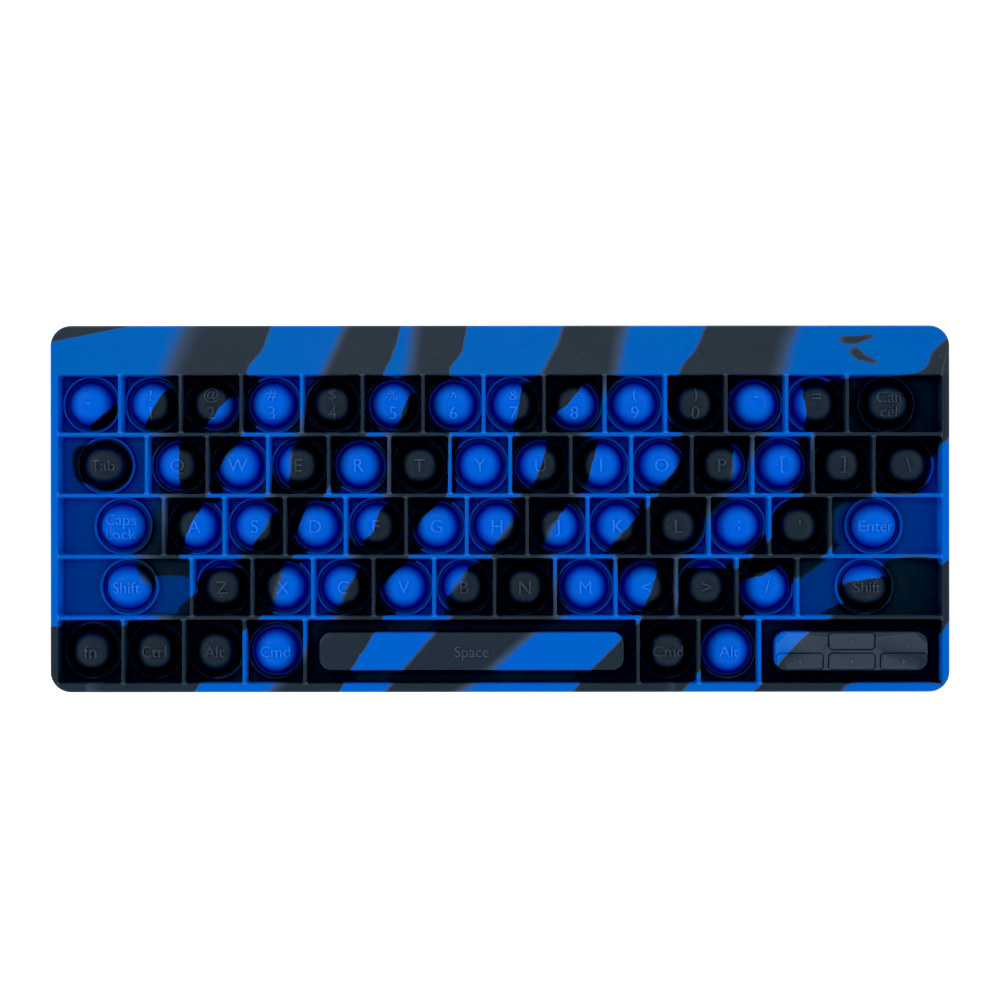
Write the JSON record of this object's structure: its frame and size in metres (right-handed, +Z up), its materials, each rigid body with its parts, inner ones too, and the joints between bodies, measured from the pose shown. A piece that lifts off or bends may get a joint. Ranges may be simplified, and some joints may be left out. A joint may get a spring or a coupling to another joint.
{
  "type": "push bubble fidget toy",
  "caption": "Silicone push-bubble fidget toy in a compact keyboard layout: a ribbed tray with a popping bubble in every key pocket and a fixed space bar and arrow pad.",
  "frame": {"origin": "middle of the underside, on the plane the toy rests on", "axes": "+X along the long side to the right when the legends read upright, +Y towards the plain band behind the number row, +Z up through the bubbles"},
  "size_m": [0.3058, 0.1248, 0.0164],
  "materials": {
    "silicone_tray": "matte silicone, blue and black marbled",
    "silicone_bubble_blue": "matte silicone, mostly blue",
    "silicone_bubble_dark": "matte silicone, mostly black"
  },
  "bodies": {
    "tray": {"tray": "silicone_tray"},
    "bubble_lead_dash": {"bubble_lead_dash": "silicone_bubble_blue"},
    "bubble_1": {"bubble_1": "silicone_bubble_blue"},
    "bubble_2": {"bubble_2": "silicone_bubble_blue"},
    "bubble_3": {"bubble_3": "silicone_bubble_blue"},
    "bubble_4": {"bubble_4": "silicone_bubble_dark"},
    "bubble_5": {"bubble_5": "silicone_bubble_blue"},
    "bubble_6": {"bubble_6": "silicone_bubble_blue"},
    "bubble_7": {"bubble_7": "silicone_bubble_blue"},
    "bubble_8": {"bubble_8": "silicone_bubble_dark"},
    "bubble_9": {"bubble_9": "silicone_bubble_blue"},
    "bubble_0": {"bubble_0": "silicone_bubble_dark"},
    "bubble_dash": {"bubble_dash": "silicone_bubble_blue"},
    "bubble_equals": {"bubble_equals": "silicone_bubble_dark"},
    "bubble_cancel": {"bubble_cancel": "silicone_bubble_dark"},
    "bubble_tab": {"bubble_tab": "silicone_bubble_dark"},
    "bubble_q": {"bubble_q": "silicone_bubble_blue"},
    "bubble_w": {"bubble_w": "silicone_bubble_blue"},
    "bubble_e": {"bubble_e": "silicone_bubble_blue"},
    "bubble_r": {"bubble_r": "silicone_bubble_blue"},
    "bubble_t": {"bubble_t": "silicone_bubble_dark"},
    "bubble_y": {"bubble_y": "silicone_bubble_blue"},
    "bubble_u": {"bubble_u": "silicone_bubble_blue"},
    "bubble_i": {"bubble_i": "silicone_bubble_dark"},
    "bubble_o": {"bubble_o": "silicone_bubble_blue"},
    "bubble_p": {"bubble_p": "silicone_bubble_dark"},
    "bubble_bracket_open": {"bubble_bracket_open": "silicone_bubble_blue"},
    "bubble_bracket_close": {"bubble_bracket_close": "silicone_bubble_dark"},
    "bubble_backslash": {"bubble_backslash": "silicone_bubble_dark"},
    "bubble_caps_lock": {"bubble_caps_lock": "silicone_bubble_blue"},
    "bubble_a": {"bubble_a": "silicone_bubble_dark"},
    "bubble_s": {"bubble_s": "silicone_bubble_blue"},
    "bubble_d": {"bubble_d": "silicone_bubble_blue"},
    "bubble_f": {"bubble_f": "silicone_bubble_blue"},
    "bubble_g": {"bubble_g": "silicone_bubble_blue"},
    "bubble_h": {"bubble_h": "silicone_bubble_blue"},
    "bubble_j": {"bubble_j": "silicone_bubble_blue"},
    "bubble_k": {"bubble_k": "silicone_bubble_blue"},
    "bubble_l": {"bubble_l": "silicone_bubble_dark"},
    "bubble_semicolon": {"bubble_semicolon": "silicone_bubble_blue"},
    "bubble_quote": {"bubble_quote": "silicone_bubble_dark"},
    "bubble_enter": {"bubble_enter": "silicone_bubble_blue"},
    "bubble_shift_left": {"bubble_shift_left": "silicone_bubble_blue"},
    "bubble_z": {"bubble_z": "silicone_bubble_blue"},
    "bubble_x": {"bubble_x": "silicone_bubble_blue"},
    "bubble_c": {"bubble_c": "silicone_bubble_blue"},
    "bubble_v": {"bubble_v": "silicone_bubble_blue"},
    "bubble_b": {"bubble_b": "silicone_bubble_blue"},
    "bubble_n": {"bubble_n": "silicone_bubble_dark"},
    "bubble_m": {"bubble_m": "silicone_bubble_blue"},
    "bubble_comma": {"bubble_comma": "silicone_bubble_blue"},
    "bubble_period": {"bubble_period": "silicone_bubble_dark"},
    "bubble_slash": {"bubble_slash": "silicone_bubble_blue"},
    "bubble_shift_right": {"bubble_shift_right": "silicone_bubble_blue"},
    "bubble_fn": {"bubble_fn": "silicone_bubble_dark"},
    "bubble_ctrl": {"bubble_ctrl": "silicone_bubble_dark"},
    "bubble_alt_left": {"bubble_alt_left": "silicone_bubble_dark"},
    "bubble_cmd_left": {"bubble_cmd_left": "silicone_bubble_blue"},
    "bubble_cmd_right": {"bubble_cmd_right": "silicone_bubble_dark"},
    "bubble_alt_right": {"bubble_alt_right": "silicone_bubble_blue"}
  },
  "joints": [
    {"name": "press_lead_dash", "type": "slide", "parent": "tray", "child": "bubble_lead_dash", "axis": [0, 0, -1], "range_m": [0, 0.0146]},
    {"name": "press_1", "type": "slide", "parent": "tray", "child": "bubble_1", "axis": [0, 0, -1], "range_m": [0, 0.0146]},
    {"name": "press_2", "type": "slide", "parent": "tray", "child": "bubble_2", "axis": [0, 0, -1], "range_m": [0, 0.0146]},
    {"name": "press_3", "type": "slide", "parent": "tray", "child": "bubble_3", "axis": [0, 0, -1], "range_m": [0, 0.0146]},
    {"name": "press_4", "type": "slide", "parent": "tray", "child": "bubble_4", "axis": [0, 0, -1], "range_m": [0, 0.0146]},
    {"name": "press_5", "type": "slide", "parent": "tray", "child": "bubble_5", "axis": [0, 0, -1], "range_m": [0, 0.0146]},
    {"name": "press_6", "type": "slide", "parent": "tray", "child": "bubble_6", "axis": [0, 0, -1], "range_m": [0, 0.0146]},
    {"name": "press_7", "type": "slide", "parent": "tray", "child": "bubble_7", "axis": [0, 0, -1], "range_m": [0, 0.0146]},
    {"name": "press_8", "type": "slide", "parent": "tray", "child": "bubble_8", "axis": [0, 0, -1], "range_m": [0, 0.0146]},
    {"name": "press_9", "type": "slide", "parent": "tray", "child": "bubble_9", "axis": [0, 0, -1], "range_m": [0, 0.0146]},
    {"name": "press_0", "type": "slide", "parent": "tray", "child": "bubble_0", "axis": [0, 0, -1], "range_m": [0, 0.0146]},
    {"name": "press_dash", "type": "slide", "parent": "tray", "child": "bubble_dash", "axis": [0, 0, -1], "range_m": [0, 0.0146]},
    {"name": "press_equals", "type": "slide", "parent": "tray", "child": "bubble_equals", "axis": [0, 0, -1], "range_m": [0, 0.0146]},
    {"name": "press_cancel", "type": "slide", "parent": "tray", "child": "bubble_cancel", "axis": [0, 0, -1], "range_m": [0, 0.0146]},
    {"name": "press_tab", "type": "slide", "parent": "tray", "child": "bubble_tab", "axis": [0, 0, -1], "range_m": [0, 0.0146]},
    {"name": "press_q", "type": "slide", "parent": "tray", "child": "bubble_q", "axis": [0, 0, -1], "range_m": [0, 0.0146]},
    {"name": "press_w", "type": "slide", "parent": "tray", "child": "bubble_w", "axis": [0, 0, -1], "range_m": [0, 0.0146]},
    {"name": "press_e", "type": "slide", "parent": "tray", "child": "bubble_e", "axis": [0, 0, -1], "range_m": [0, 0.0146]},
    {"name": "press_r", "type": "slide", "parent": "tray", "child": "bubble_r", "axis": [0, 0, -1], "range_m": [0, 0.0146]},
    {"name": "press_t", "type": "slide", "parent": "tray", "child": "bubble_t", "axis": [0, 0, -1], "range_m": [0, 0.0146]},
    {"name": "press_y", "type": "slide", "parent": "tray", "child": "bubble_y", "axis": [0, 0, -1], "range_m": [0, 0.0146]},
    {"name": "press_u", "type": "slide", "parent": "tray", "child": "bubble_u", "axis": [0, 0, -1], "range_m": [0, 0.0146]},
    {"name": "press_i", "type": "slide", "parent": "tray", "child": "bubble_i", "axis": [0, 0, -1], "range_m": [0, 0.0146]},
    {"name": "press_o", "type": "slide", "parent": "tray", "child": "bubble_o", "axis": [0, 0, -1], "range_m": [0, 0.0146]},
    {"name": "press_p", "type": "slide", "parent": "tray", "child": "bubble_p", "axis": [0, 0, -1], "range_m": [0, 0.0146]},
    {"name": "press_bracket_open", "type": "slide", "parent": "tray", "child": "bubble_bracket_open", "axis": [0, 0, -1], "range_m": [0, 0.0146]},
    {"name": "press_bracket_close", "type": "slide", "parent": "tray", "child": "bubble_bracket_close", "axis": [0, 0, -1], "range_m": [0, 0.0146]},
    {"name": "press_backslash", "type": "slide", "parent": "tray", "child": "bubble_backslash", "axis": [0, 0, -1], "range_m": [0, 0.0146]},
    {"name": "press_caps_lock", "type": "slide", "parent": "tray", "child": "bubble_caps_lock", "axis": [0, 0, -1], "range_m": [0, 0.0146]},
    {"name": "press_a", "type": "slide", "parent": "tray", "child": "bubble_a", "axis": [0, 0, -1], "range_m": [0, 0.0146]},
    {"name": "press_s", "type": "slide", "parent": "tray", "child": "bubble_s", "axis": [0, 0, -1], "range_m": [0, 0.0146]},
    {"name": "press_d", "type": "slide", "parent": "tray", "child": "bubble_d", "axis": [0, 0, -1], "range_m": [0, 0.0146]},
    {"name": "press_f", "type": "slide", "parent": "tray", "child": "bubble_f", "axis": [0, 0, -1], "range_m": [0, 0.0146]},
    {"name": "press_g", "type": "slide", "parent": "tray", "child": "bubble_g", "axis": [0, 0, -1], "range_m": [0, 0.0146]},
    {"name": "press_h", "type": "slide", "parent": "tray", "child": "bubble_h", "axis": [0, 0, -1], "range_m": [0, 0.0146]},
    {"name": "press_j", "type": "slide", "parent": "tray", "child": "bubble_j", "axis": [0, 0, -1], "range_m": [0, 0.0146]},
    {"name": "press_k", "type": "slide", "parent": "tray", "child": "bubble_k", "axis": [0, 0, -1], "range_m": [0, 0.0146]},
    {"name": "press_l", "type": "slide", "parent": "tray", "child": "bubble_l", "axis": [0, 0, -1], "range_m": [0, 0.0146]},
    {"name": "press_semicolon", "type": "slide", "parent": "tray", "child": "bubble_semicolon", "axis": [0, 0, -1], "range_m": [0, 0.0146]},
    {"name": "press_quote", "type": "slide", "parent": "tray", "child": "bubble_quote", "axis": [0, 0, -1], "range_m": [0, 0.0146]},
    {"name": "press_enter", "type": "slide", "parent": "tray", "child": "bubble_enter", "axis": [0, 0, -1], "range_m": [0, 0.0146]},
    {"name": "press_shift_left", "type": "slide", "parent": "tray", "child": "bubble_shift_left", "axis": [0, 0, -1], "range_m": [0, 0.0146]},
    {"name": "press_z", "type": "slide", "parent": "tray", "child": "bubble_z", "axis": [0, 0, -1], "range_m": [0, 0.0146]},
    {"name": "press_x", "type": "slide", "parent": "tray", "child": "bubble_x", "axis": [0, 0, -1], "range_m": [0, 0.0146]},
    {"name": "press_c", "type": "slide", "parent": "tray", "child": "bubble_c", "axis": [0, 0, -1], "range_m": [0, 0.0146]},
    {"name": "press_v", "type": "slide", "parent": "tray", "child": "bubble_v", "axis": [0, 0, -1], "range_m": [0, 0.0146]},
    {"name": "press_b", "type": "slide", "parent": "tray", "child": "bubble_b", "axis": [0, 0, -1], "range_m": [0, 0.0146]},
    {"name": "press_n", "type": "slide", "parent": "tray", "child": "bubble_n", "axis": [0, 0, -1], "range_m": [0, 0.0146]},
    {"name": "press_m", "type": "slide", "parent": "tray", "child": "bubble_m", "axis": [0, 0, -1], "range_m": [0, 0.0146]},
    {"name": "press_comma", "type": "slide", "parent": "tray", "child": "bubble_comma", "axis": [0, 0, -1], "range_m": [0, 0.0146]},
    {"name": "press_period", "type": "slide", "parent": "tray", "child": "bubble_period", "axis": [0, 0, -1], "range_m": [0, 0.0146]},
    {"name": "press_slash", "type": "slide", "parent": "tray", "child": "bubble_slash", "axis": [0, 0, -1], "range_m": [0, 0.0146]},
    {"name": "press_shift_right", "type": "slide", "parent": "tray", "child": "bubble_shift_right", "axis": [0, 0, -1], "range_m": [0, 0.0146]},
    {"name": "press_fn", "type": "slide", "parent": "tray", "child": "bubble_fn", "axis": [0, 0, -1], "range_m": [0, 0.0146]},
    {"name": "press_ctrl", "type": "slide", "parent": "tray", "child": "bubble_ctrl", "axis": [0, 0, -1], "range_m": [0, 0.0146]},
    {"name": "press_alt_left", "type": "slide", "parent": "tray", "child": "bubble_alt_left", "axis": [0, 0, -1], "range_m": [0, 0.0146]},
    {"name": "press_cmd_left", "type": "slide", "parent": "tray", "child": "bubble_cmd_left", "axis": [0, 0, -1], "range_m": [0, 0.0146]},
    {"name": "press_cmd_right", "type": "slide", "parent": "tray", "child": "bubble_cmd_right", "axis": [0, 0, -1], "range_m": [0, 0.0146]},
    {"name": "press_alt_right", "type": "slide", "parent": "tray", "child": "bubble_alt_right", "axis": [0, 0, -1], "range_m": [0, 0.0146]}
  ]
}
